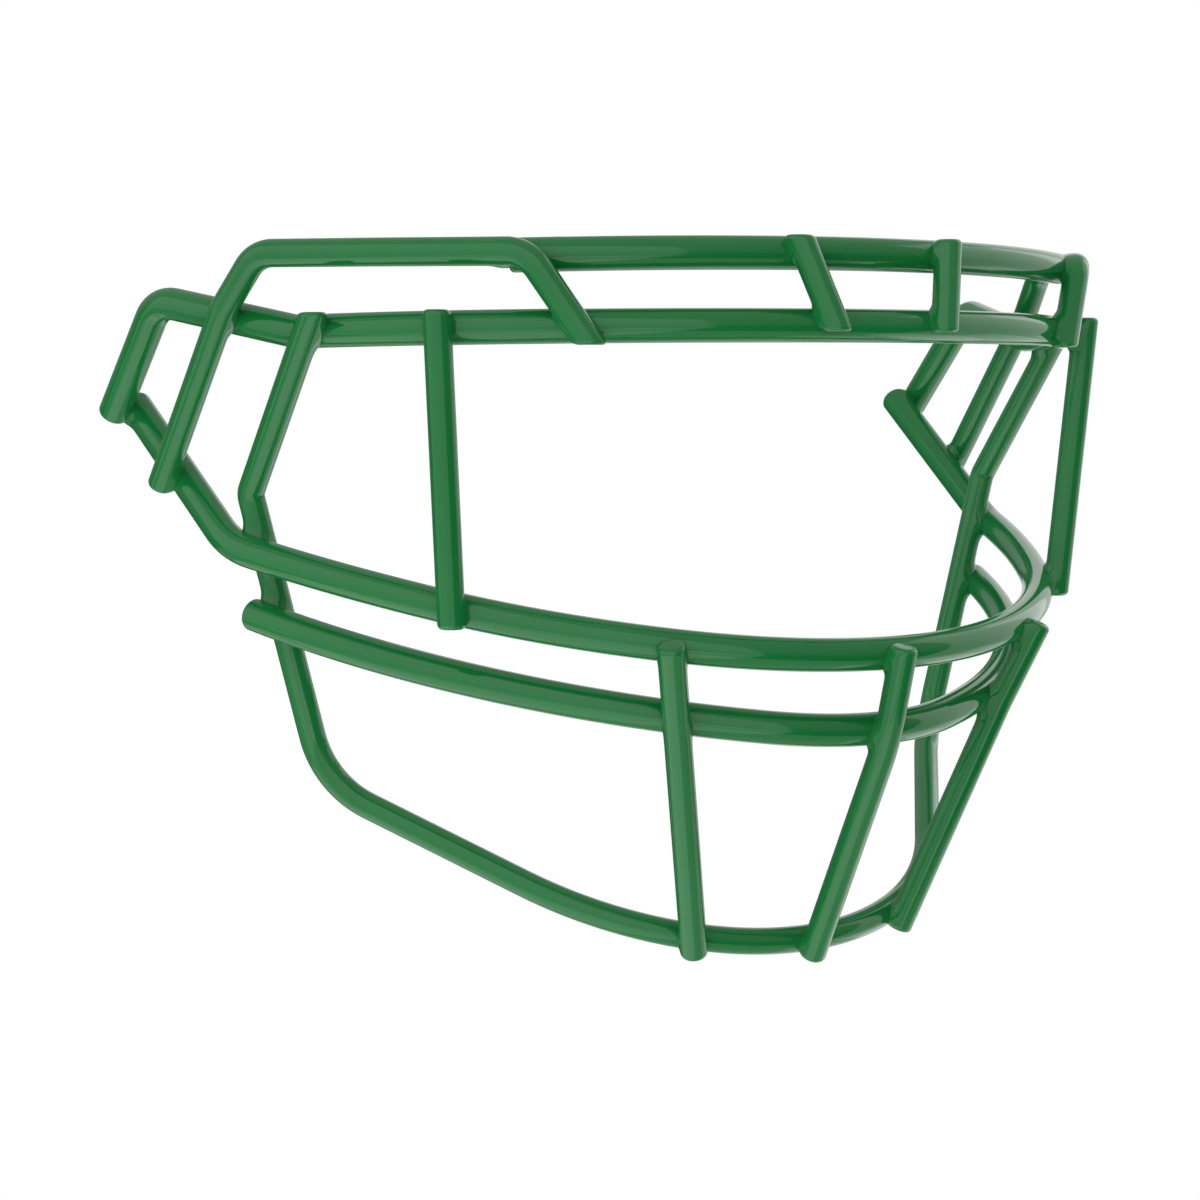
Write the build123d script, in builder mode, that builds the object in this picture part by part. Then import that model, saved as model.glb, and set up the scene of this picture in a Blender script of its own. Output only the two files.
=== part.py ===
from build123d import *
import os
from math import asin, atan2, cos, degrees, hypot, radians, sin

os.makedirs("parts", exist_ok=True)

# Football helmet facemask: fourteen bent wires, welded where they cross and dip coated.
# X runs across the face, with the wearer's left at +X. The front faces -Y and +Z is up.
# The cage is the same on both sides of the plane X = 0, so each centre line is drawn on
# the wearer's left. A station is a distance along a centre line from the middle plane.
# The size of an arc is its length along the wire.

# Wire stock, measured over the bonded coating
heavy_wire = 7.05
light_wire = 5.85
weld_bite = 1.5
weld_bed_length = 16.0
end_chamfer = 1.1
bow_tail = 4.0

# Top bar: one level arc over the brow
top_depth = 64.2
top_rise = 14.9
top_tilt = -2.6
top_radius = 132.2
top_arc = 71.8

# Upper main bar: the bow over the eyes, its risers, rear bends and drop legs
upper_depth = 68.2
upper_height = 63.0
upper_tilt = -1.0
upper_front_radius = 118.7
upper_front_arc = 75.8
upper_side_radius = 77.6
upper_side_arc = 46.4
upper_shoulder_radius = 16.0
upper_shoulder_lead = 7.8
upper_rear_reach = 114.2
upper_rear_depth = 37.3
upper_rear_height = 68.8
upper_rear_radius = 9.0
drop_leg_tail = 1.3

# Lower main bar: the bow over the mouth, rising to the back, and its risers
lower_depth = 72.1
lower_height = -5.0
lower_tilt = 13.0
lower_front_radius = 86.1
lower_front_arc = 45.8
lower_cheek_radius = 119.0
lower_cheek_arc = 53.9
lower_side_radius = 222.5
lower_side_arc = 44.0
lower_shoulder_radius = 22.0
lower_shoulder_lead = 7.5
lower_rear_reach = 109.4
lower_rear_depth = 61.4
lower_rear_height = 46.7
lower_end_tail = 2.2

# Mid bar: the bow under the lower main bar
mid_depth = 67.7
mid_height = -21.3
mid_tilt = 14.7
mid_front_radius = 56.7
mid_front_arc = 24.5
mid_cheek_radius = 147.7
mid_cheek_arc = 44.5
mid_side_radius = 150.6
mid_side_arc = 69.7

# Chin wire: a bow under the chin whose legs climb inside the cage and out to the upper bar
chin_depth = 43.7
chin_height = -69.9
chin_radius = 68.8
chin_bend_radius = 20.0
chin_leg_below = 39.8
chin_leg_above = 11.3
chin_kink_radius = 3.5
chin_top_tail = 5.1
chin_lower_station = 146.7
chin_mid_station = 138.6
chin_upper_station = 122.8

# Side hoops: a front leg, a top run and a kinked rear leg at each temple
hoop_front_station = 65.4
hoop_front_tail = 2.7
hoop_corner_station = 74.8
hoop_corner_relief = 0.5
hoop_corner_radius = 8.0
hoop_run_bow = 1.7
hoop_run_radius = 200.0
hoop_rear_reach = 108.0
hoop_rear_depth = 2.5
hoop_rear_height = 78.0
hoop_rear_radius = 8.0
hoop_kink_station = 145.3
hoop_kink_relief = 1.4
hoop_kink_rise = 4.3
hoop_kink_radius = 9.0
hoop_foot_station = 175.5
hoop_foot_tail = 2.4

# Eye verticals: one outside each eye
eye_top_station = 93.2
eye_foot_station = 92.9
eye_tail = 3.2

# Brow struts: a pair over the nose
brow_top_station = 18.5
brow_foot_station = 14.3
brow_tail = 2.1

# Chin verticals: one in the middle and one each side
chin_side_top_station = 48.4
chin_side_mid_station = 43.8
chin_side_foot_station = 27.5
chin_side_top_tail = 2.8
chin_centre_top_tail = 4.4
chin_foot_tail = 2.2
chin_vertical_radius = 20.0


def bow_plane(depth, height, tilt):
    """Plane of a bow: its origin is the front of the bow and its y runs to the back."""
    lean = radians(tilt)
    return Plane(origin=(0, -depth, height), x_dir=(1, 0, 0), z_dir=(0, -sin(lean), cos(lean)))


def arc_run(start, direction, radius, length):
    """Arc of a bow, given by its radius and by its length along the wire."""
    return JernArc(start, direction, radius, degrees(length / radius))


def point_on(centre_line, station):
    return centre_line.position_at(station, PositionMode.LENGTH)


def seat_beside(carrier, station, towards, spacing):
    """Point at a spacing outside a carrier's centre line, square to it and to a crossing wire.

    The crossing wire runs from the carrier towards the given point. A negative spacing
    gives the point inside the cage.
    """
    crossing = point_on(carrier, station)
    along = carrier.tangent_at(station, PositionMode.LENGTH)
    square = along.cross(towards - crossing).normalized()
    outward = Vector(crossing.X, crossing.Y, 0)
    if square.dot(outward) < 0:
        square = -square
    return crossing + square * spacing


def beyond(first, second, distance):
    """Point at a distance past the second point, in line with the two."""
    return second + (second - first).normalized() * distance


def run_wire(centre_line, diameter):
    """Sweep round wire along each stretch of a centre line in turn."""
    for stretch in centre_line.edges():
        with BuildSketch(Plane(stretch @ 0, z_dir=stretch % 0)) as section:
            Circle(diameter / 2)
        sweep(section.sketch, path=stretch)


def break_end(piece, end):
    """Break the edge of the cut face at one end of a wire."""
    cut_face = piece.faces().sort_by_distance(end)[0]
    chamfer(cut_face.edges(), end_chamfer)


def bed_on(carrier, station, diameter):
    """Notch the wire being made where it is welded onto a carrier."""
    run = carrier.tangent_at(station, PositionMode.LENGTH)
    with Locations(Plane(point_on(carrier, station), z_dir=run)):
        Cylinder(diameter / 2, weld_bed_length, mode=Mode.SUBTRACT)


heavy_on_heavy = heavy_wire - weld_bite
light_on_heavy = (heavy_wire + light_wire) / 2 - weld_bite
light_on_light = light_wire - weld_bite

# Centre lines of the bows

with BuildLine(bow_plane(top_depth, upper_height + top_rise, top_tilt)) as top_half:
    front = arc_run((0, 0), (1, 0), top_radius, top_arc)
    Line(front @ 1, front @ 1 + (front % 1) * bow_tail)
top_rail = top_half.wire()

with BuildLine(bow_plane(lower_depth, lower_height, lower_tilt)) as lower_half:
    front = arc_run((0, 0), (1, 0), lower_front_radius, lower_front_arc)
    cheek = arc_run(front @ 1, front % 1, lower_cheek_radius, lower_cheek_arc)
    side = arc_run(cheek @ 1, cheek % 1, lower_side_radius, lower_side_arc)
    shoulder = side @ 1 + (side % 1) * lower_shoulder_lead
    rear_end = Vector(lower_rear_reach, lower_rear_depth, lower_rear_height)
    FilletPolyline(side @ 1, shoulder, rear_end, radius=lower_shoulder_radius)
lower_rail = lower_half.wire()

with BuildLine(bow_plane(mid_depth, mid_height, mid_tilt)) as mid_half:
    front = arc_run((0, 0), (1, 0), mid_front_radius, mid_front_arc)
    cheek = arc_run(front @ 1, front % 1, mid_cheek_radius, mid_cheek_arc)
    side = arc_run(cheek @ 1, cheek % 1, mid_side_radius, mid_side_arc)
    Line(side @ 1, side @ 1 + (side % 1) * bow_tail)
mid_rail = mid_half.wire()

with BuildLine(bow_plane(upper_depth, upper_height, upper_tilt)) as upper_half:
    front = arc_run((0, 0), (1, 0), upper_front_radius, upper_front_arc)
    side = arc_run(front @ 1, front % 1, upper_side_radius, upper_side_arc)
    shoulder = side @ 1 + (side % 1) * upper_shoulder_lead
    rear = Vector(upper_rear_reach, upper_rear_depth, upper_rear_height)
    leg_seat = seat_beside(lower_rail, lower_rail.length - lower_end_tail, rear, heavy_on_heavy)
    leg_end = beyond(rear, leg_seat, drop_leg_tail)
    FilletPolyline(
        side @ 1, shoulder, rear, leg_end, radius=(upper_shoulder_radius, upper_rear_radius)
    )
upper_rail = upper_half.wire()

# Centre line of the chin wire: its legs lean on the insides of the two bars that they pass
lower_crossing = point_on(lower_rail, chin_lower_station)
mid_crossing = point_on(mid_rail, chin_mid_station)
lower_seat = seat_beside(lower_rail, chin_lower_station, mid_crossing, -light_on_heavy)
mid_seat = seat_beside(mid_rail, chin_mid_station, lower_crossing, -light_on_heavy)
kink = beyond(mid_seat, lower_seat, chin_leg_above)
bend = beyond(lower_seat, mid_seat, chin_leg_below)
upper_seat = seat_beside(upper_rail, chin_upper_station, kink, light_on_heavy)
chin_top = beyond(kink, upper_seat, chin_top_tail)

# Its bow is an arc that ends where its tangent meets the bends of the legs
run_back = hypot(bend.Y + chin_depth, bend.Z - chin_height)
past_centre = run_back - chin_radius
chin_turn = atan2(past_centre, bend.X) + asin(chin_radius / hypot(bend.X, past_centre))
chin_tilt = atan2(bend.Z - chin_height, bend.Y + chin_depth)
with BuildLine(bow_plane(chin_depth, chin_height, degrees(chin_tilt))) as chin_half:
    front = arc_run((0, 0), (1, 0), chin_radius, chin_radius * chin_turn)
    FilletPolyline(
        front @ 1, bend, kink, chin_top, radius=(chin_bend_radius, chin_kink_radius)
    )
chin_rail = chin_half.wire()

# Centre line of a side hoop: up from the upper main bar, back over the temple and down
front_foot = point_on(upper_rail, hoop_front_station)
corner_spacing = light_on_heavy + hoop_corner_relief
front_corner = seat_beside(top_rail, hoop_corner_station, front_foot, corner_spacing)
front_seat = seat_beside(upper_rail, hoop_front_station, front_corner, light_on_heavy)
rear_corner = Vector(hoop_rear_reach, hoop_rear_depth, hoop_rear_height)
kink_spacing = light_on_heavy + hoop_kink_relief
hoop_kink = seat_beside(upper_rail, hoop_kink_station, rear_corner, kink_spacing)
hoop_kink += Vector(0, 0, hoop_kink_rise)
foot_seat = seat_beside(lower_rail, hoop_foot_station, hoop_kink, light_on_heavy)
with BuildLine() as hoop_half:
    FilletPolyline(
        beyond(front_corner, front_seat, hoop_front_tail),
        front_corner,
        (front_corner + rear_corner) / 2 + Vector(hoop_run_bow, 0, 0),
        rear_corner,
        hoop_kink,
        beyond(hoop_kink, foot_seat, hoop_foot_tail),
        radius=(hoop_corner_radius, hoop_run_radius, hoop_rear_radius, hoop_kink_radius),
    )
hoop_rail = hoop_half.wire()

# Centre lines of the short wires, each seated on the outside of the bars that it joins


def strut_between(upper, upper_station, lower, lower_station, spacing, tail):
    """Straight centre line seated outside two bars, with the same tail past each."""
    upper_point = point_on(upper, upper_station)
    lower_point = point_on(lower, lower_station)
    top = seat_beside(upper, upper_station, lower_point, spacing)
    foot = seat_beside(lower, lower_station, upper_point, spacing)
    with BuildLine() as strut:
        Line(beyond(foot, top, tail), beyond(top, foot, tail))
    return strut.wire()


def strut_over(stations, tails):
    """Centre line seated outside the lower main bar, the mid bar and the chin wire."""
    bars = (lower_rail, mid_rail, chin_rail)
    spacings = (light_on_heavy, light_on_heavy, light_on_light)
    crossings = [point_on(bar, station) for bar, station in zip(bars, stations)]
    towards = (crossings[2], crossings[2], crossings[0])
    seats = [
        seat_beside(*each) for each in zip(bars, stations, towards, spacings)
    ]
    top = beyond(seats[1], seats[0], tails[0])
    foot = beyond(seats[1], seats[2], tails[1])
    with BuildLine() as strut:
        FilletPolyline(top, seats[1], foot, radius=chin_vertical_radius)
    return strut.wire()


eye_line = strut_between(
    upper_rail, eye_top_station, lower_rail, eye_foot_station, light_on_heavy, eye_tail
)
brow_line = strut_between(
    top_rail, brow_top_station, upper_rail, brow_foot_station, light_on_heavy, brow_tail
)
chin_side_stations = (chin_side_top_station, chin_side_mid_station, chin_side_foot_station)
chin_side_line = strut_over(chin_side_stations, (chin_side_top_tail, chin_foot_tail))
chin_centre_stations = (0, 0, 0)
chin_centre_line = strut_over(chin_centre_stations, (chin_centre_top_tail, chin_foot_tail))

# The wires that cross the middle plane. Each later wire is notched where it is welded on.

with BuildPart() as upper_main_bar:
    run_wire(upper_rail, heavy_wire)
    break_end(upper_main_bar, upper_rail @ 1)
    mirror(about=Plane.YZ)

with BuildPart() as lower_main_bar:
    run_wire(lower_rail, heavy_wire)
    break_end(lower_main_bar, lower_rail @ 1)
    bed_on(upper_rail, upper_rail.length - drop_leg_tail, heavy_wire)
    mirror(about=Plane.YZ)

with BuildPart() as mid_bar:
    run_wire(mid_rail, heavy_wire)
    break_end(mid_bar, mid_rail @ 1)
    mirror(about=Plane.YZ)

with BuildPart() as top_bar:
    run_wire(top_rail, heavy_wire)
    break_end(top_bar, top_rail @ 1)
    mirror(about=Plane.YZ)

with BuildPart() as chin_wire:
    run_wire(chin_rail, light_wire)
    break_end(chin_wire, chin_rail @ 1)
    bed_on(mid_rail, chin_mid_station, heavy_wire)
    bed_on(lower_rail, chin_lower_station, heavy_wire)
    bed_on(upper_rail, chin_upper_station, heavy_wire)
    mirror(about=Plane.YZ)

# The wires of one side, drawn on the wearer's left, and the vertical in the middle

with BuildPart() as left_side_hoop:
    run_wire(hoop_rail, light_wire)
    break_end(left_side_hoop, hoop_rail @ 0)
    break_end(left_side_hoop, hoop_rail @ 1)
    bed_on(upper_rail, hoop_front_station, heavy_wire)
    bed_on(top_rail, hoop_corner_station, heavy_wire)
    bed_on(upper_rail, hoop_kink_station, heavy_wire)
    bed_on(lower_rail, hoop_foot_station, heavy_wire)

with BuildPart() as left_eye_vertical:
    run_wire(eye_line, light_wire)
    break_end(left_eye_vertical, eye_line @ 0)
    break_end(left_eye_vertical, eye_line @ 1)
    bed_on(upper_rail, eye_top_station, heavy_wire)
    bed_on(lower_rail, eye_foot_station, heavy_wire)

with BuildPart() as left_brow_strut:
    run_wire(brow_line, light_wire)
    break_end(left_brow_strut, brow_line @ 0)
    break_end(left_brow_strut, brow_line @ 1)
    bed_on(top_rail, brow_top_station, heavy_wire)
    bed_on(upper_rail, brow_foot_station, heavy_wire)

with BuildPart() as left_chin_vertical:
    run_wire(chin_side_line, light_wire)
    break_end(left_chin_vertical, chin_side_line @ 0)
    break_end(left_chin_vertical, chin_side_line @ 1)
    bed_on(lower_rail, chin_side_top_station, heavy_wire)
    bed_on(mid_rail, chin_side_mid_station, heavy_wire)
    bed_on(chin_rail, chin_side_foot_station, light_wire)

with BuildPart() as centre_chin_vertical:
    run_wire(chin_centre_line, light_wire)
    break_end(centre_chin_vertical, chin_centre_line @ 0)
    break_end(centre_chin_vertical, chin_centre_line @ 1)
    for rail, diameter in ((lower_rail, heavy_wire), (mid_rail, heavy_wire), (chin_rail, light_wire)):
        bed_on(rail, 0, diameter)

pieces = {
    "upper_main_bar": upper_main_bar.part,
    "lower_main_bar": lower_main_bar.part,
    "mid_bar": mid_bar.part,
    "top_bar": top_bar.part,
    "chin_wire": chin_wire.part,
    "centre_chin_vertical": centre_chin_vertical.part,
}
for name, left in (
    ("side_hoop", left_side_hoop),
    ("eye_vertical", left_eye_vertical),
    ("brow_strut", left_brow_strut),
    ("chin_vertical", left_chin_vertical),
):
    with BuildPart() as right:
        mirror(left.part, about=Plane.YZ)
    pieces["left_" + name] = left.part
    pieces["right_" + name] = right.part

for name, piece in pieces.items():
    piece.label = name
    export_step(piece, f"parts/{name}.step")
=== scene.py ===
import math

import bpy
import numpy as np
from mathutils import Matrix, Vector


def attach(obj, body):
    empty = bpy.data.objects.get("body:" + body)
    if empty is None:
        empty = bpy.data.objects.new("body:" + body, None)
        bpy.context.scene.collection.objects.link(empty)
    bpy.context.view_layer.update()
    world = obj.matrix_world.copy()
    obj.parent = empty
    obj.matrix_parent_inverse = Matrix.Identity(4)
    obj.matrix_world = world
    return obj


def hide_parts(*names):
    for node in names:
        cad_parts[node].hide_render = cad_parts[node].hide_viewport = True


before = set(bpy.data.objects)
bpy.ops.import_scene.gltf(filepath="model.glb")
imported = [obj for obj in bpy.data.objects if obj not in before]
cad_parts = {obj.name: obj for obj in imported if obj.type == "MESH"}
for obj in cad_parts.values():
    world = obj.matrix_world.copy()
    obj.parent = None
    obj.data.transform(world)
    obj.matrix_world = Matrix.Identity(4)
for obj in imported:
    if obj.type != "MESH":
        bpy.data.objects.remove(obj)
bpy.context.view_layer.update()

# The cage's sizes are those of its solids, in millimetres, and every centre line is drawn on
# the wearer's left. A station is a distance along a centre line from the middle plane. The
# size of an arc is its length along the wire.
MM = 0.001

# Wire stock, measured over the coat
HEAVY_WIRE = 7.05
LIGHT_WIRE = 5.85
WELD_BITE = 1.5
BOW_TAIL = 4.0

# Top bar: one level arc over the brow
TOP_DEPTH = 64.2
TOP_RISE = 14.9
TOP_TILT = -2.6
TOP_RADIUS = 132.2
TOP_ARC = 71.8

# Upper main bar: the bow over the eyes, its risers, rear bends and drop legs
UPPER_DEPTH = 68.2
UPPER_HEIGHT = 63.0
UPPER_TILT = -1.0
UPPER_FRONT_RADIUS = 118.7
UPPER_FRONT_ARC = 75.8
UPPER_SIDE_RADIUS = 77.6
UPPER_SIDE_ARC = 46.4
UPPER_SHOULDER_RADIUS = 16.0
UPPER_SHOULDER_LEAD = 7.8
UPPER_REAR = (114.2, 37.3, 68.8)
UPPER_REAR_RADIUS = 9.0
DROP_LEG_TAIL = 1.3

# Lower main bar: the bow over the mouth, rising to the back, and its risers
LOWER_DEPTH = 72.1
LOWER_HEIGHT = -5.0
LOWER_TILT = 13.0
LOWER_FRONT_RADIUS = 86.1
LOWER_FRONT_ARC = 45.8
LOWER_CHEEK_RADIUS = 119.0
LOWER_CHEEK_ARC = 53.9
LOWER_SIDE_RADIUS = 222.5
LOWER_SIDE_ARC = 44.0
LOWER_SHOULDER_RADIUS = 22.0
LOWER_SHOULDER_LEAD = 7.5
LOWER_REAR = (109.4, 61.4, 46.7)
LOWER_END_TAIL = 2.2

# Mid bar: the bow under the lower main bar
MID_DEPTH = 67.7
MID_HEIGHT = -21.3
MID_TILT = 14.7
MID_FRONT_RADIUS = 56.7
MID_FRONT_ARC = 24.5
MID_CHEEK_RADIUS = 147.7
MID_CHEEK_ARC = 44.5
MID_SIDE_RADIUS = 150.6
MID_SIDE_ARC = 69.7

# Chin wire: a bow under the chin whose legs climb inside the cage and out to the upper bar
CHIN_DEPTH = 43.7
CHIN_HEIGHT = -69.9
CHIN_RADIUS = 68.8
CHIN_BEND_RADIUS = 20.0
CHIN_LEG_BELOW = 39.8
CHIN_LEG_ABOVE = 11.3
CHIN_KINK_RADIUS = 3.5
CHIN_TOP_TAIL = 5.1
CHIN_LOWER_STATION = 146.7
CHIN_MID_STATION = 138.6
CHIN_UPPER_STATION = 122.8

# Side hoops: a front leg, a top run and a kinked rear leg at each temple
HOOP_FRONT_STATION = 65.4
HOOP_FRONT_TAIL = 2.7
HOOP_CORNER_STATION = 74.8
HOOP_CORNER_RELIEF = 0.5
HOOP_CORNER_RADIUS = 8.0
HOOP_RUN_BOW = 1.7
HOOP_RUN_RADIUS = 200.0
HOOP_REAR = (108.0, 2.5, 78.0)
HOOP_REAR_RADIUS = 8.0
HOOP_KINK_STATION = 145.3
HOOP_KINK_RELIEF = 1.4
HOOP_KINK_RISE = 4.3
HOOP_KINK_RADIUS = 9.0
HOOP_FOOT_STATION = 175.5
HOOP_FOOT_TAIL = 2.4

# Eye verticals, brow struts and chin verticals
EYE_TOP_STATION = 93.2
EYE_FOOT_STATION = 92.9
EYE_TAIL = 3.2
BROW_TOP_STATION = 18.5
BROW_FOOT_STATION = 14.3
BROW_TAIL = 2.1
CHIN_SIDE_STATIONS = (48.4, 43.8, 27.5)
CHIN_CENTRE_STATIONS = (0.0, 0.0, 0.0)
CHIN_SIDE_TOP_TAIL = 2.8
CHIN_CENTRE_TOP_TAIL = 4.4
CHIN_FOOT_TAIL = 2.2

HEAVY_ON_HEAVY = HEAVY_WIRE - WELD_BITE
LIGHT_ON_HEAVY = (HEAVY_WIRE + LIGHT_WIRE) / 2 - WELD_BITE
LIGHT_ON_LIGHT = LIGHT_WIRE - WELD_BITE

# The coat, just inside the solids' box: its radius on each wire, how it rounds the cut ends and
# fills the welds, and how close to an end the fillets fade and a level cut begins
BOX_MARGIN = 0.01
HEAVY = HEAVY_WIRE / 2 - BOX_MARGIN
LIGHT = LIGHT_WIRE / 2
FILLET = 1.2
END_ROUND = 1.1
CALM_END = 1.8
LEVEL_CUT_RUN = 6.0

# The chin verticals bend more softly here than their solids do, as in the photograph
CHIN_VERTICAL_RADIUS = 60.0

# How far the coat runs on past the corner at an end of a wire, or stops short of it
UPPER_TRIM = -0.4
LOWER_TRIM = -0.45
TOP_EXTRA = 2.4
CHIN_TOP_EXTRA = 0.3
HOOP_FRONT_EXTRA = 0.4
EYE_TOP_EXTRA = 0.9
BROW_TOP_EXTRA = 0.45
BROW_FOOT_EXTRA = 0.65
CENTRE_TOP_TRIM = -0.45
CENTRE_FOOT_TRIM = -0.2

# How finely a line is followed: a rail that stations are measured along, a wire's own line, and
# the line of a wire that carries others. A bend has so many parts to each step.
RAIL_STEP = 0.05
LINE_STEP = 0.25
CARRIER_STEP = 0.5
PARTS_PER_STEP = 3
LEAST_PARTS = 4
SAME_PLACE = 1e-4

# The rings of a wire's mesh: how many sides they have, how far apart they are at least in plain
# runs, near welds and near ends, and how many of them round an end over
SIDES = 48
PLAIN_STEP = 1.0
WELD_STEP = 0.25
WELD_REACH = 5.5
END_STEP = 0.22
END_REACH = 2.2
END_RINGS = 10
END_MARGIN = 0.1
ROUND_OFF = 1e-6
STEEP = 0.9

# A first look, at one in so many of a carrier's points, tells which rings and points are near
# enough to it to count, with a margin. Neighbours in a line with a wider gap between them than
# the last of these lengths are on separate stretches of it.
RING_SKIP = 8
FILLET_SKIP = 4
POINT_MARGIN = 2.0
LINE_MARGIN = 4.0
LINE_GAP = 1.0

# The search for a fillet's surface: a distance beyond all others, the least depth in the fillet
# that counts, how often the search steps and halves, and how often its result is evened out
FAR = 1e9
TOUCH = 1e-5
SEARCH_STEPS = 8
HALVINGS = 12
EVENINGS = 9


def point(*xyz):
    return np.array(xyz, float)


def unit(v):
    return v / np.linalg.norm(v)


def beyond(first, second, length):
    """Point so far past the second point, in line with the two."""
    return second + unit(second - first) * length


def corner(place, radius=0.0):
    """A corner of a bent wire: where it is and the radius of its bend."""
    return (*place, radius)


def on_line(marks, along, points):
    """The places at some marks along a line of points."""
    return np.stack([np.interp(marks, along, points[:, k]) for k in range(3)], axis=1)


def bend_points(before, here, after, radius, step):
    """Points along the round bend at a corner."""
    way_in, way_out = unit(here - before), unit(after - here)
    turn = math.acos(max(-1.0, min(1.0, float(way_in @ way_out))))
    reach = radius * math.tan(turn / 2)
    start = here - way_in * reach
    side = unit(way_out - way_in * float(way_in @ way_out))
    parts = max(LEAST_PARTS, int(math.ceil(radius * turn / (step / PARTS_PER_STEP))))
    points = []
    for k in range(parts + 1):
        angle = turn * k / parts
        points.append(start + way_in * radius * math.sin(angle) + side * radius * (1 - math.cos(angle)))
    return points


def centre_line(rows, step, more=(0, 0)):
    """Evenly spaced points along straight runs and round bends, and how far along each is.

    The first and the last run are longer by the two lengths in more, or shorter.
    """
    corners = [point(*row[:3]) for row in rows]
    corners[0] = beyond(corners[1], corners[0], more[0])
    corners[-1] = beyond(corners[-2], corners[-1], more[1])
    line = [corners[0]]
    for before, here, after, row in zip(corners, corners[1:], corners[2:], rows[1:]):
        line += bend_points(before, here, after, row[3], step)
    line.append(corners[-1])
    kept = [line[0]]
    for place in line[1:]:
        if np.linalg.norm(place - kept[-1]) > SAME_PLACE:
            kept.append(place)
    kept = np.array(kept)
    along = np.concatenate([[0], np.cumsum(np.linalg.norm(np.diff(kept, axis=0), axis=1))])
    at = np.linspace(0, along[-1], int(round(along[-1] / step)) + 1)
    return on_line(at, along, kept), at


def bow(depth, height, tilt, arcs):
    """Corners of half a bow of arcs, from the middle plane, and its end and its direction there.

    The bow lies in a plane that leans by the tilt. Each arc has its radius and its length.
    """
    lean = math.radians(tilt)
    across_face = point(1, 0, 0)
    to_back = point(0, math.cos(lean), math.sin(lean))
    end = point(0, -depth, height)
    turned = 0.0
    way = across_face
    corners = []
    for radius, length in arcs:
        reach = radius * math.tan(length / radius / 2)
        bend = end + way * reach
        turned += length / radius
        way = across_face * math.cos(turned) + to_back * math.sin(turned)
        end = bend + way * reach
        corners.append(corner(bend, radius))
    return corners, end, way


def rail(corners):
    """Half a centre line, from the middle plane, that stations are measured along."""
    first = corners[0]
    return centre_line([(0.0, *first[1:3], 0.0)] + corners, RAIL_STEP)


def place_on(carrier, station):
    points, at = carrier
    return point(*(np.interp(station, at, points[:, k]) for k in range(3)))


def run_on(carrier, station):
    """Direction of a centre line at a station."""
    reach = carrier[1][-1]
    ahead = place_on(carrier, min(station + RAIL_STEP, reach))
    return unit(ahead - place_on(carrier, max(station - RAIL_STEP, 0)))


def seat_beside(carrier, station, towards, spacing):
    """Point outside a carrier, square to it and to the wire that crosses it towards a point.

    A negative spacing gives the point inside the cage.
    """
    crossing = place_on(carrier, station)
    square = unit(np.cross(run_on(carrier, station), towards - crossing))
    if square[:2] @ crossing[:2] < 0:
        square = -square
    return crossing + square * spacing


def strut_between(upper, upper_station, lower, lower_station, tail):
    """Straight light wire outside two heavy bars, with the same tail past each."""
    upper_point = place_on(upper, upper_station)
    lower_point = place_on(lower, lower_station)
    top = seat_beside(upper, upper_station, lower_point, LIGHT_ON_HEAVY)
    foot = seat_beside(lower, lower_station, upper_point, LIGHT_ON_HEAVY)
    return [corner(beyond(foot, top, tail)), corner(beyond(top, foot, tail))]


def strut_over(bars, stations, top_tail):
    """Light wire outside the lower main bar, the mid bar and the chin wire."""
    crossings = [place_on(bar, station) for bar, station in zip(bars, stations)]
    towards = (crossings[2], crossings[2], crossings[0])
    spacings = (LIGHT_ON_HEAVY, LIGHT_ON_HEAVY, LIGHT_ON_LIGHT)
    seats = [seat_beside(*each) for each in zip(bars, stations, towards, spacings)]
    top = beyond(seats[1], seats[0], top_tail)
    foot = beyond(seats[1], seats[2], CHIN_FOOT_TAIL)
    return [corner(top), corner(seats[1], CHIN_VERTICAL_RADIUS), corner(foot)]


def top_corners():
    arcs = [(TOP_RADIUS, TOP_ARC)]
    corners, end, way = bow(TOP_DEPTH, UPPER_HEIGHT + TOP_RISE, TOP_TILT, arcs)
    return corners + [corner(end + way * BOW_TAIL)]


def mid_corners():
    arcs = [
        (MID_FRONT_RADIUS, MID_FRONT_ARC),
        (MID_CHEEK_RADIUS, MID_CHEEK_ARC),
        (MID_SIDE_RADIUS, MID_SIDE_ARC),
    ]
    corners, end, way = bow(MID_DEPTH, MID_HEIGHT, MID_TILT, arcs)
    return corners + [corner(end + way * BOW_TAIL)]


def lower_corners():
    arcs = [
        (LOWER_FRONT_RADIUS, LOWER_FRONT_ARC),
        (LOWER_CHEEK_RADIUS, LOWER_CHEEK_ARC),
        (LOWER_SIDE_RADIUS, LOWER_SIDE_ARC),
    ]
    corners, end, way = bow(LOWER_DEPTH, LOWER_HEIGHT, LOWER_TILT, arcs)
    shoulder = corner(end + way * LOWER_SHOULDER_LEAD, LOWER_SHOULDER_RADIUS)
    return corners + [shoulder, corner(LOWER_REAR)]


def upper_corners(lower):
    arcs = [(UPPER_FRONT_RADIUS, UPPER_FRONT_ARC), (UPPER_SIDE_RADIUS, UPPER_SIDE_ARC)]
    corners, end, way = bow(UPPER_DEPTH, UPPER_HEIGHT, UPPER_TILT, arcs)
    shoulder = corner(end + way * UPPER_SHOULDER_LEAD, UPPER_SHOULDER_RADIUS)
    rear = point(*UPPER_REAR)
    leg_seat = seat_beside(lower, lower[1][-1] - LOWER_END_TAIL, rear, HEAVY_ON_HEAVY)
    leg_end = beyond(rear, leg_seat, DROP_LEG_TAIL)
    return corners + [shoulder, corner(rear, UPPER_REAR_RADIUS), corner(leg_end)]


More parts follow.
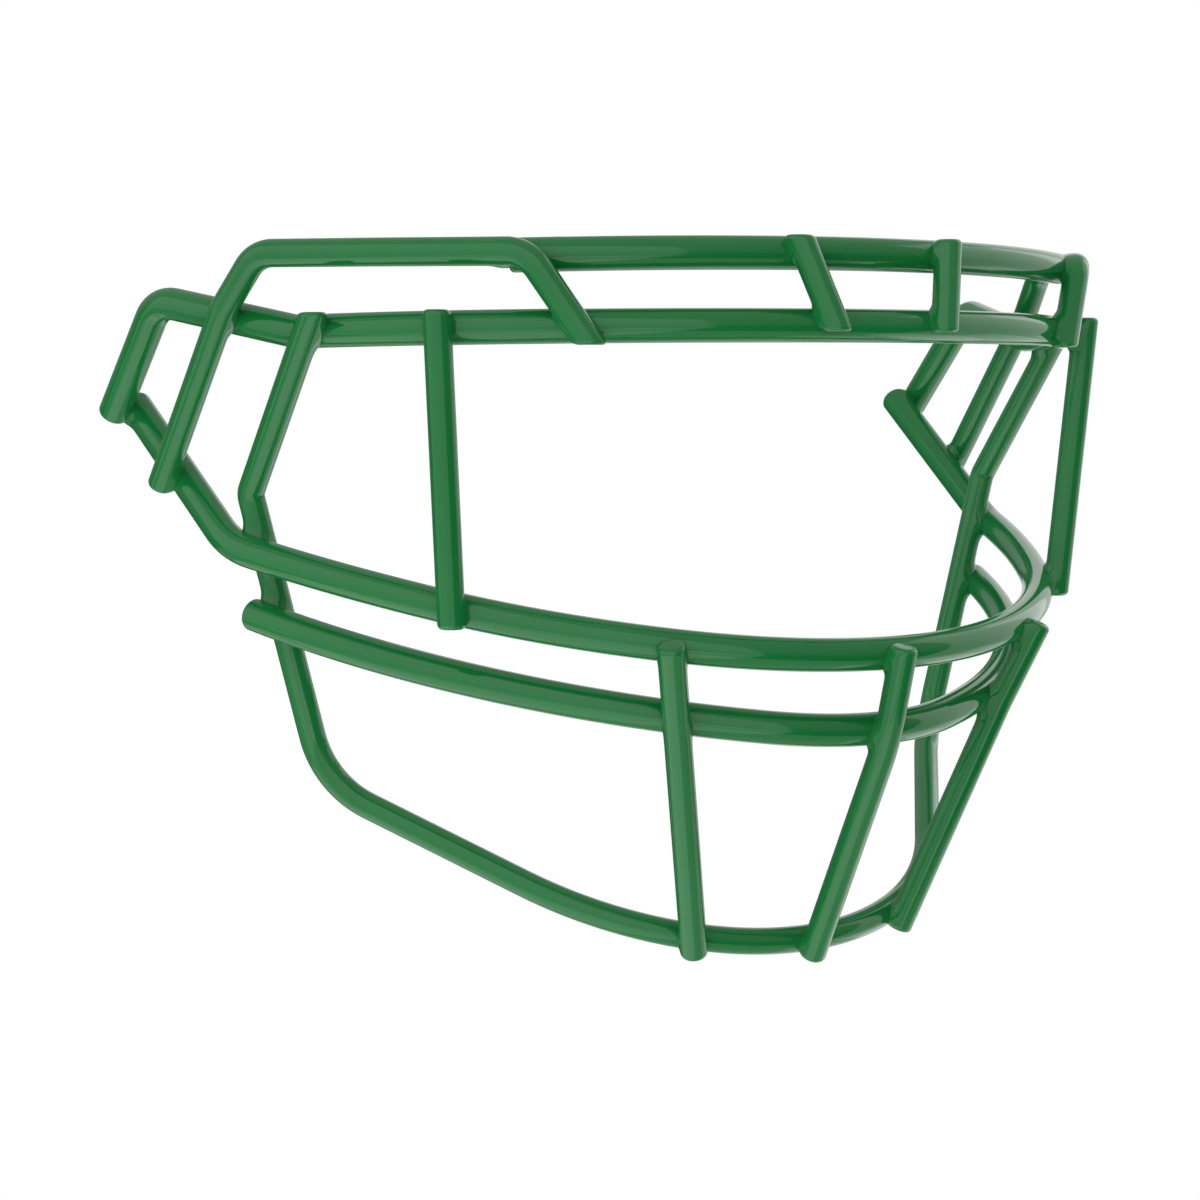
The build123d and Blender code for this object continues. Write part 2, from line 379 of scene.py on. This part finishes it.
def chin_corners(lower, mid, upper):
    """The legs lean on the insides of two bars, and the bow runs into their bends."""
    lower_crossing = place_on(lower, CHIN_LOWER_STATION)
    mid_crossing = place_on(mid, CHIN_MID_STATION)
    lower_seat = seat_beside(lower, CHIN_LOWER_STATION, mid_crossing, -LIGHT_ON_HEAVY)
    mid_seat = seat_beside(mid, CHIN_MID_STATION, lower_crossing, -LIGHT_ON_HEAVY)
    kink = beyond(mid_seat, lower_seat, CHIN_LEG_ABOVE)
    bend = beyond(lower_seat, mid_seat, CHIN_LEG_BELOW)
    upper_seat = seat_beside(upper, CHIN_UPPER_STATION, kink, LIGHT_ON_HEAVY)
    top = beyond(kink, upper_seat, CHIN_TOP_TAIL)
    back, rise = bend[1] + CHIN_DEPTH, bend[2] - CHIN_HEIGHT
    past_centre = math.hypot(back, rise) - CHIN_RADIUS
    turn = math.atan2(past_centre, bend[0])
    turn += math.asin(CHIN_RADIUS / math.hypot(bend[0], past_centre))
    tilt = math.degrees(math.atan2(rise, back))
    corners, _, _ = bow(CHIN_DEPTH, CHIN_HEIGHT, tilt, [(CHIN_RADIUS, CHIN_RADIUS * turn)])
    legs = [corner(bend, CHIN_BEND_RADIUS), corner(kink, CHIN_KINK_RADIUS), corner(top)]
    return corners + legs


def hoop_corners(upper, lower, top):
    front_foot = place_on(upper, HOOP_FRONT_STATION)
    spacing = LIGHT_ON_HEAVY + HOOP_CORNER_RELIEF
    front = seat_beside(top, HOOP_CORNER_STATION, front_foot, spacing)
    front_seat = seat_beside(upper, HOOP_FRONT_STATION, front, LIGHT_ON_HEAVY)
    rear = point(*HOOP_REAR)
    middle = (front + rear) / 2 + point(HOOP_RUN_BOW, 0, 0)
    spacing = LIGHT_ON_HEAVY + HOOP_KINK_RELIEF
    kink = seat_beside(upper, HOOP_KINK_STATION, rear, spacing) + point(0, 0, HOOP_KINK_RISE)
    foot_seat = seat_beside(lower, HOOP_FOOT_STATION, kink, LIGHT_ON_HEAVY)
    return [
        corner(beyond(front, front_seat, HOOP_FRONT_TAIL)),
        corner(front, HOOP_CORNER_RADIUS),
        corner(middle, HOOP_RUN_RADIUS),
        corner(rear, HOOP_REAR_RADIUS),
        corner(kink, HOOP_KINK_RADIUS),
        corner(beyond(kink, foot_seat, HOOP_FOOT_TAIL)),
    ]


def mirrored(rows):
    return [(-x, y, z, r) for x, y, z, r in rows]


def across(rows):
    """The corners of a wire that crosses the middle plane, from right to left."""
    return mirrored(rows)[::-1] + rows


def square_end(more=0):
    """An end that is cut square."""
    return (more, False)


def level_end(more=0):
    """An end that is cut level, whatever the wire's slope."""
    return (more, True)


def pair(name, rows, start, stop):
    """The left and the right one of a light wire."""
    return [
        ("left_" + name, rows, LIGHT, start, stop),
        ("right_" + name, mirrored(rows), LIGHT, start, stop),
    ]


TOP = top_corners()
LOWER = lower_corners()
MID = mid_corners()
TOP_RAIL, LOWER_RAIL, MID_RAIL = rail(TOP), rail(LOWER), rail(MID)
UPPER = upper_corners(LOWER_RAIL)
UPPER_RAIL = rail(UPPER)
CHIN = chin_corners(LOWER_RAIL, MID_RAIL, UPPER_RAIL)
CHIN_BARS = (LOWER_RAIL, MID_RAIL, rail(CHIN))
HOOP = hoop_corners(UPPER_RAIL, LOWER_RAIL, TOP_RAIL)
EYE = strut_between(UPPER_RAIL, EYE_TOP_STATION, LOWER_RAIL, EYE_FOOT_STATION, EYE_TAIL)
BROW = strut_between(TOP_RAIL, BROW_TOP_STATION, UPPER_RAIL, BROW_FOOT_STATION, BROW_TAIL)
CHIN_SIDE = strut_over(CHIN_BARS, CHIN_SIDE_STATIONS, CHIN_SIDE_TOP_TAIL)
CHIN_CENTRE = strut_over(CHIN_BARS, CHIN_CENTRE_STATIONS, CHIN_CENTRE_TOP_TAIL)

# In welding order, because the coat of each wire flows onto the ones before it: the node, the
# corners, the radius and how the wire starts and stops
WIRES = [
    ("upper_main_bar", across(UPPER), HEAVY, square_end(UPPER_TRIM), square_end(UPPER_TRIM)),
    ("lower_main_bar", across(LOWER), HEAVY, square_end(LOWER_TRIM), square_end(LOWER_TRIM)),
    ("mid_bar", across(MID), HEAVY, square_end(), square_end()),
    ("top_bar", across(TOP), HEAVY, square_end(TOP_EXTRA), square_end(TOP_EXTRA)),
    ("chin_wire", across(CHIN), LIGHT, level_end(CHIN_TOP_EXTRA), level_end(CHIN_TOP_EXTRA)),
    *pair("side_hoop", HOOP, level_end(HOOP_FRONT_EXTRA), square_end()),
    *pair("eye_vertical", EYE, level_end(EYE_TOP_EXTRA), level_end()),
    *pair("brow_strut", BROW, level_end(BROW_TOP_EXTRA), level_end(BROW_FOOT_EXTRA)),
    *pair("chin_vertical", CHIN_SIDE, square_end(), square_end()),
    (
        "centre_chin_vertical",
        CHIN_CENTRE,
        LIGHT,
        square_end(CENTRE_TOP_TRIM),
        square_end(CENTRE_FOOT_TRIM),
    ),
]


def nearest(points, line):
    """How far each point is from the nearest point of a line."""
    gap = np.full(len(points), FAR)
    for place in line:
        gap = np.minimum(gap, np.linalg.norm(points - place, axis=1))
    return gap


def distance(points, line, radius):
    """How far points are outside a round wire, whose line may be given in separate stretches."""
    best = np.full(len(points), FAR)
    starts, steps = line[:-1], line[1:] - line[:-1]
    squares = (steps * steps).sum(1)
    for i in np.nonzero(squares < LINE_GAP**2)[0]:
        away = points - starts[i]
        share = np.clip(away @ steps[i] / squares[i], 0, 1)
        gap = away - share[:, None] * steps[i]
        best = np.minimum(best, (gap * gap).sum(1))
    return np.sqrt(best) - radius


def joined(a, b):
    """Union of two distances, with a fillet where they meet."""
    hollow = np.hypot(np.maximum(FILLET - a, 0), np.maximum(FILLET - b, 0))
    return np.maximum(np.minimum(a, b), FILLET) - hollow


def evened(grid):
    """Evens out values on the rings and sides of a wire."""
    for _ in range(EVENINGS):
        along = np.pad(grid, ((1, 1), (0, 0)), mode="edge")
        grid = (along[:-2] + 2 * grid + along[2:]) / 4
        grid = (np.roll(grid, 1, axis=1) + 2 * grid + np.roll(grid, -1, axis=1)) / 4
    return grid


def eased(share):
    """A share from 0 to 1 that starts and ends gently."""
    return share * share * (3 - 2 * share)


def rings(rows, radius, carriers, more):
    """Places of a wire's rings, close together at its welds and its rounded ends."""
    points, at = centre_line(rows, LINE_STEP, more)
    length = at[-1]
    need = np.full(len(at), PLAIN_STEP)
    for line, carrier_radius in carriers:
        near = nearest(points, line[::RING_SKIP]) < radius + carrier_radius + WELD_REACH
        need[near] = WELD_STEP
    need[(at < END_REACH) | (at > length - END_REACH)] = END_STEP
    picked = [0.0]
    for here, gap in zip(at[1:], need[1:]):
        if here - picked[-1] >= gap - ROUND_OFF:
            picked.append(here)
    picked = np.array(picked)
    end_zone = END_ROUND + END_MARGIN
    inner = picked[(picked > end_zone) & (picked < length - end_zone)]
    rounding = END_ROUND * (1 - np.cos(np.linspace(0, math.pi / 2, END_RINGS)))
    marks = np.concatenate([rounding, inner, (length - rounding)[::-1]])
    return on_line(marks, at, points), marks


def ring_directions(points):
    """A tangent at each point, and the directions of its ring's sides, without twist."""
    tangent = np.gradient(points, axis=0)
    tangent /= np.linalg.norm(tangent, axis=1)[:, None]
    up = point(0, 0, 1)
    if abs(tangent[0] @ up) > STEEP:
        up = point(0, 1, 0)
    u = np.zeros_like(tangent)
    u[0] = unit(up - tangent[0] * (up @ tangent[0]))
    for i in range(1, len(tangent)):
        u[i] = unit(u[i - 1] - tangent[i] * (u[i - 1] @ tangent[i]))
    v = np.cross(tangent, u)
    angle = np.arange(SIDES) * 2 * math.pi / SIDES
    outward = u[:, None] * np.cos(angle)[None, :, None] + v[:, None] * np.sin(angle)[None, :, None]
    return tangent, outward


def rounded_radius(to_end, radius):
    """Radius of each ring: full along the wire, and rounded over at its cut ends."""
    near = np.clip(to_end, 0, END_ROUND)
    return radius - (END_ROUND - np.sqrt(np.maximum(END_ROUND**2 - (END_ROUND - near) ** 2, 0)))


def level_slide(at, tangent, outward, radii, cuts):
    """How far each point slides along the wire so that an end is cut level instead of square."""
    slide = np.zeros(outward.shape[:2])
    for is_level, to_end, axis in ((cuts[0], at, tangent[0]), (cuts[1], at[-1] - at, tangent[-1])):
        if is_level:
            share = np.clip(1 - to_end / LEVEL_CUT_RUN, 0, 1)
            slide -= share[:, None] * radii * outward[..., 2] / axis[2]
    return slide


def fillet_growth(centres, outward, radii, line, carrier_radius):
    """How far each point moves outward so that the coat runs out over a carrier in a fillet."""
    growth = np.zeros(len(radii))
    points = centres + outward * radii[:, None]
    reach = carrier_radius + FILLET
    index = np.nonzero(nearest(points, line[::FILLET_SKIP]) < reach + POINT_MARGIN)[0]
    if not len(index):
        return growth
    hits = points[index]
    local = line[[np.linalg.norm(hits - place, axis=1).min() < reach + LINE_MARGIN for place in line]]
    low = radii[index]

    def outside(trial):
        places = centres[index] + outward[index] * trial[:, None]
        return joined(trial - low, distance(places, local, carrier_radius))

    moving = outside(low) < -TOUCH
    inner, outer = low.copy(), low.copy()
    found = ~moving
    previous = low
    for step in np.linspace(0, FILLET, SEARCH_STEPS + 1)[1:]:
        here = low + step
        hit = ~found & (outside(here) >= 0)
        inner[hit], outer[hit] = previous[hit], here[hit]
        found |= hit
        previous = here
    inner[~found] = outer[~found] = (low + FILLET)[~found]
    for _ in range(HALVINGS):
        middle = (inner + outer) / 2
        side = outside(middle)
        inner = np.where(side < 0, middle, inner)
        outer = np.where(side < 0, outer, middle)
    settled = np.where(moving, (inner + outer) / 2, low)
    growth[index] = np.maximum(settled - low, 0)
    return growth


def tube_faces(count):
    """Faces of a closed tube of rings, with a flat face at each end."""
    faces = []
    for i in range(count - 1):
        for k in range(SIDES):
            j = (k + 1) % SIDES
            faces.append((i * SIDES + k, i * SIDES + j, (i + 1) * SIDES + j, (i + 1) * SIDES + k))
    faces.append(tuple(range(SIDES))[::-1])
    faces.append(tuple((count - 1) * SIDES + k for k in range(SIDES)))
    return faces


def wire_mesh(name, rows, radius, start, stop, carriers):
    """A wire with rounded ends whose coat runs out over the wires that it is welded to."""
    points, at = rings(rows, radius, carriers, (start[0], stop[0]))
    tangent, outward = ring_directions(points)
    to_end = np.minimum(at, at[-1] - at)
    radii = rounded_radius(to_end, radius)[:, None] * np.ones((1, SIDES))
    slide = level_slide(at, tangent, outward, radii, (start[1], stop[1]))
    centres = (points[:, None] + tangent[:, None] * slide[..., None]).reshape(-1, 3)
    outward, radii = outward.reshape(-1, 3), radii.reshape(-1)
    weight = np.repeat(eased(np.clip(to_end / CALM_END, 0, 1)), SIDES)
    for line, carrier_radius in carriers:
        growth = fillet_growth(centres, outward, radii, line, carrier_radius)
        radii = radii + evened(growth.reshape(-1, SIDES)).reshape(-1) * weight
    places = centres + outward * radii[:, None]
    mesh = bpy.data.meshes.new(name + "_coat")
    mesh.from_pydata((places * MM).tolist(), [], tube_faces(len(points)))
    mesh.validate()
    mesh.polygons.foreach_set("use_smooth", [True] * len(mesh.polygons))
    mesh.update()
    return add_object(name + "_coat", mesh)


def add_object(name, data):
    thing = bpy.data.objects.new(name, data)
    bpy.context.collection.objects.link(thing)
    return thing


def add_node(tree, kind, inputs=None, **settings):
    """A new node, with its settings and the values of its inputs."""
    node = tree.nodes.new(kind)
    for key, value in settings.items():
        setattr(node, key, value)
    for key, value in (inputs or {}).items():
        node.inputs[key].default_value = value
    return node


def add_ramp(tree, first, last, between=()):
    """A colour ramp, each of whose stops is a position and a colour."""
    ramp = add_node(tree, "ShaderNodeValToRGB")
    for element, (position, colour) in zip(ramp.color_ramp.elements, (first, last)):
        element.position = position
        element.color = colour
    for position, colour in between:
        ramp.color_ramp.elements.new(position).color = colour
    return ramp


def empty_material(name):
    """A material without nodes, and its tree."""
    material = bpy.data.materials.new(name)
    material.use_nodes = True
    material.node_tree.nodes.clear()
    return material, material.node_tree


# The coat's colours are linear. Noise is in cells per metre, and its usual values lie between
# the low and the high one.
DEEP_GREEN = (0.005, 0.166, 0.034, 1)
CLEAR_GREEN = (0.007, 0.186, 0.04, 1)
COAT_IOR = 1.5
NOISE_LOW = 0.3
NOISE_HIGH = 0.7
CLOUDS = {"Scale": 22.0, "Detail": 3.0}
GLOSS = {"From Min": NOISE_LOW, "From Max": NOISE_HIGH, "To Min": 0.07, "To Max": 0.11}
PEEL = {"Scale": 260.0, "Detail": 2.0}
PEEL_RELIEF = {"Strength": 0.01, "Distance": 0.0004}


def coat_material():
    """Gloss dip coat: green vinyl over wire, with a slight flow in the film."""
    material, tree = empty_material("green_dip_coat")
    link = tree.links.new
    out = add_node(tree, "ShaderNodeOutputMaterial")
    skin = add_node(tree, "ShaderNodeBsdfPrincipled", {"IOR": COAT_IOR})
    where = add_node(tree, "ShaderNodeTexCoord")
    clouds = add_node(tree, "ShaderNodeTexNoise", CLOUDS)
    link(where.outputs["Object"], clouds.inputs["Vector"])
    shade = add_ramp(tree, (NOISE_LOW, DEEP_GREEN), (NOISE_HIGH, CLEAR_GREEN))
    link(clouds.outputs["Fac"], shade.inputs["Fac"])
    link(shade.outputs["Color"], skin.inputs["Base Color"])
    gloss = add_node(tree, "ShaderNodeMapRange", GLOSS)
    link(clouds.outputs["Fac"], gloss.inputs["Value"])
    link(gloss.outputs["Result"], skin.inputs["Roughness"])
    peel = add_node(tree, "ShaderNodeTexNoise", PEEL)
    link(where.outputs["Object"], peel.inputs["Vector"])
    relief = add_node(tree, "ShaderNodeBump", PEEL_RELIEF)
    link(peel.outputs["Fac"], relief.inputs["Height"])
    link(relief.outputs["Normal"], skin.inputs["Normal"])
    link(skin.outputs["BSDF"], out.inputs["Surface"])
    return material


def dress_cage():
    """The coated wires, each in place of its solid."""
    coat = coat_material()
    carriers = []
    for name, rows, radius, start, stop in WIRES:
        piece = wire_mesh(name, rows, radius, start, stop, carriers)
        piece.data.materials.append(coat)
        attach(piece, "root")
        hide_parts(name)
        line, _ = centre_line(rows, CARRIER_STEP, (start[0], stop[0]))
        carriers.append((line, radius))


# Camera, as fitted to the photograph: how far it turns from straight ahead and looks down, its
# focal length in frame widths, and where the cage's origin lies from it, in millimetres to the
# right, below and ahead
LOOK_SIDE = math.radians(33.389)
LOOK_DOWN = math.radians(4.531)
FOCAL = 2918.2 / 1200
ORIGIN_RIGHT = 20.303
ORIGIN_BELOW = 1.3181
ORIGIN_AHEAD = 668.36
SENSOR = 36
CLIP_START = 0.01
CLIP_END = 20


def add_camera():
    ahead = (math.sin(LOOK_SIDE) * math.cos(LOOK_DOWN), math.cos(LOOK_SIDE) * math.cos(LOOK_DOWN))
    forward = Vector((*ahead, -math.sin(LOOK_DOWN)))
    right = Vector((math.cos(LOOK_SIDE), -math.sin(LOOK_SIDE), 0))
    below = forward.cross(right)
    data = bpy.data.cameras.new("camera")
    data.sensor_width = SENSOR
    data.lens = SENSOR * FOCAL
    data.clip_start = CLIP_START
    data.clip_end = CLIP_END
    camera = add_object("camera", data)
    spot = -(right * ORIGIN_RIGHT + below * ORIGIN_BELOW + forward * ORIGIN_AHEAD) * MM
    turn = Matrix((right, -below, -forward)).transposed()
    camera.matrix_world = Matrix.Translation(spot) @ turn.to_4x4()
    bpy.context.scene.camera = camera


# Studio, in metres. The cage hangs above the floor. Each soft box has a place, a point that it
# faces, a width, a height and its brightness, which is the same all over it.
FLOOR = -0.46
FLOOR_RADIUS = 0.75
FLOOR_SIDES = 96
FLOOR_GREY = (0.8, 0.8, 0.8, 1)
FLOOR_GLOW = 0.85
CARD_LIFT = 0.03
SOFT_BOXES = [
    ("key", (-0.974, -0.288, 0.45), (-0.08, 0.16, 0.45), 3.82, 2.1, 0.68),
    ("key_foot", (-0.974, -0.288, -0.31), (-0.08, 0.16, -0.31), 3.82, 0.6, 0.05),
    ("side", (0.628, -0.093, 0.24), (-0.322, 0.047, 0.55), 0.6, 1.39, 0.85),
    ("back", (1.01, 0.647, 0.26), (0, 0, 0.26), 1.17, 1.28, 0.62),
]
# Cards that lie just above the floor and face up: x, y, width, depth and brightness
FLOOR_CARDS = [
    ("low", 0.7, 0.38, 1.0, 1.25, 0.56),
    ("bounce_front", -0.335, -0.525, 0.43, 1.75, 0.85),
    ("bounce_side", -0.715, -0.275, 0.33, 1.25, 0.62),
    ("bounce_rear", -0.71, 0.725, 1.18, 0.75, 0.3),
]
WHITE = (1, 1, 1, 1)
ROOM_DARK = (0.05, 0.05, 0.05, 1)
ROOM_MIDDLE = (0.4, 0.4, 0.4, 1)
ROOM_TOP = (0.62, 0.62, 0.62, 1)
ROOM_MIDDLE_SHARE = 0.35
ROOM_RANGE = {"From Min": -0.2, "From Max": 1.0}


def soft_box(name, place, target, wide, high, brightness):
    """A flat studio light that looks equally bright all over, and that the camera doesn't see."""
    data = bpy.data.lights.new(name, "AREA")
    data.shape = "RECTANGLE"
    data.size = wide
    data.size_y = high
    data.energy = brightness * math.pi * wide * high
    lamp = add_object(name, data)
    lamp.location = place
    lamp.rotation_mode = "QUATERNION"
    lamp.rotation_quaternion = (Vector(target) - Vector(place)).to_track_quat("-Z", "Y")
    lamp.visible_camera = False


def add_lights():
    for name, place, target, wide, high, brightness in SOFT_BOXES:
        soft_box(name, place, target, wide, high, brightness)
    for name, x, y, wide, deep, brightness in FLOOR_CARDS:
        soft_box(name, (x, y, FLOOR + CARD_LIFT), (x, y, 0), wide, deep, brightness)


def floor_material():
    """Pale matt floor that the camera sees as nearly white, and that still takes a shadow."""
    material, tree = empty_material("pale_floor")
    link = tree.links.new
    out = add_node(tree, "ShaderNodeOutputMaterial")
    matt = add_node(tree, "ShaderNodeBsdfDiffuse", {"Color": FLOOR_GREY})
    plain = add_node(tree, "ShaderNodeEmission")
    sight = add_node(tree, "ShaderNodeLightPath")
    share = add_node(tree, "ShaderNodeMath", {1: FLOOR_GLOW}, operation="MULTIPLY")
    link(sight.outputs["Is Camera Ray"], share.inputs[0])
    blend = add_node(tree, "ShaderNodeMixShader")
    link(share.outputs["Value"], blend.inputs["Fac"])
    link(matt.outputs["BSDF"], blend.inputs[1])
    link(plain.outputs["Emission"], blend.inputs[2])
    link(blend.outputs["Shader"], out.inputs["Surface"])
    return material


def add_floor():
    angles = [2 * math.pi * k / FLOOR_SIDES for k in range(FLOOR_SIDES)]
    rim = [(FLOOR_RADIUS * math.cos(a), FLOOR_RADIUS * math.sin(a), FLOOR) for a in angles]
    mesh = bpy.data.meshes.new("floor")
    mesh.from_pydata(rim, [], [tuple(range(FLOOR_SIDES))])
    mesh.materials.append(floor_material())
    floor = add_object("floor", mesh)


def add_room():
    """White behind the cage for the camera, and for the object a room that is lighter above."""
    world = bpy.data.worlds.new("studio")
    bpy.context.scene.world = world
    world.use_nodes = True
    tree = world.node_tree
    tree.nodes.clear()
    link = tree.links.new
    out = add_node(tree, "ShaderNodeOutputWorld")
    seen = add_node(tree, "ShaderNodeBackground", {"Color": WHITE, "Strength": 1.0})
    room = add_node(tree, "ShaderNodeBackground", {"Color": WHITE})
    towards = add_node(tree, "ShaderNodeTexCoord")
    parts = add_node(tree, "ShaderNodeSeparateXYZ")
    link(towards.outputs["Generated"], parts.inputs["Vector"])
    height = add_node(tree, "ShaderNodeMapRange", ROOM_RANGE)
    link(parts.outputs["Z"], height.inputs["Value"])
    middle = (ROOM_MIDDLE_SHARE, ROOM_MIDDLE)
    light = add_ramp(tree, (0.0, ROOM_DARK), (1.0, ROOM_TOP), [middle])
    link(height.outputs["Result"], light.inputs["Fac"])
    link(light.outputs["Color"], room.inputs["Strength"])
    path = add_node(tree, "ShaderNodeLightPath")
    mix = add_node(tree, "ShaderNodeMixShader")
    link(path.outputs["Is Camera Ray"], mix.inputs["Fac"])
    link(room.outputs["Background"], mix.inputs[1])
    link(seen.outputs["Background"], mix.inputs[2])
    link(mix.outputs["Shader"], out.inputs["Surface"])


dress_cage()
add_camera()
add_lights()
add_floor()
add_room()
bpy.context.scene.view_settings.view_transform = "Standard"
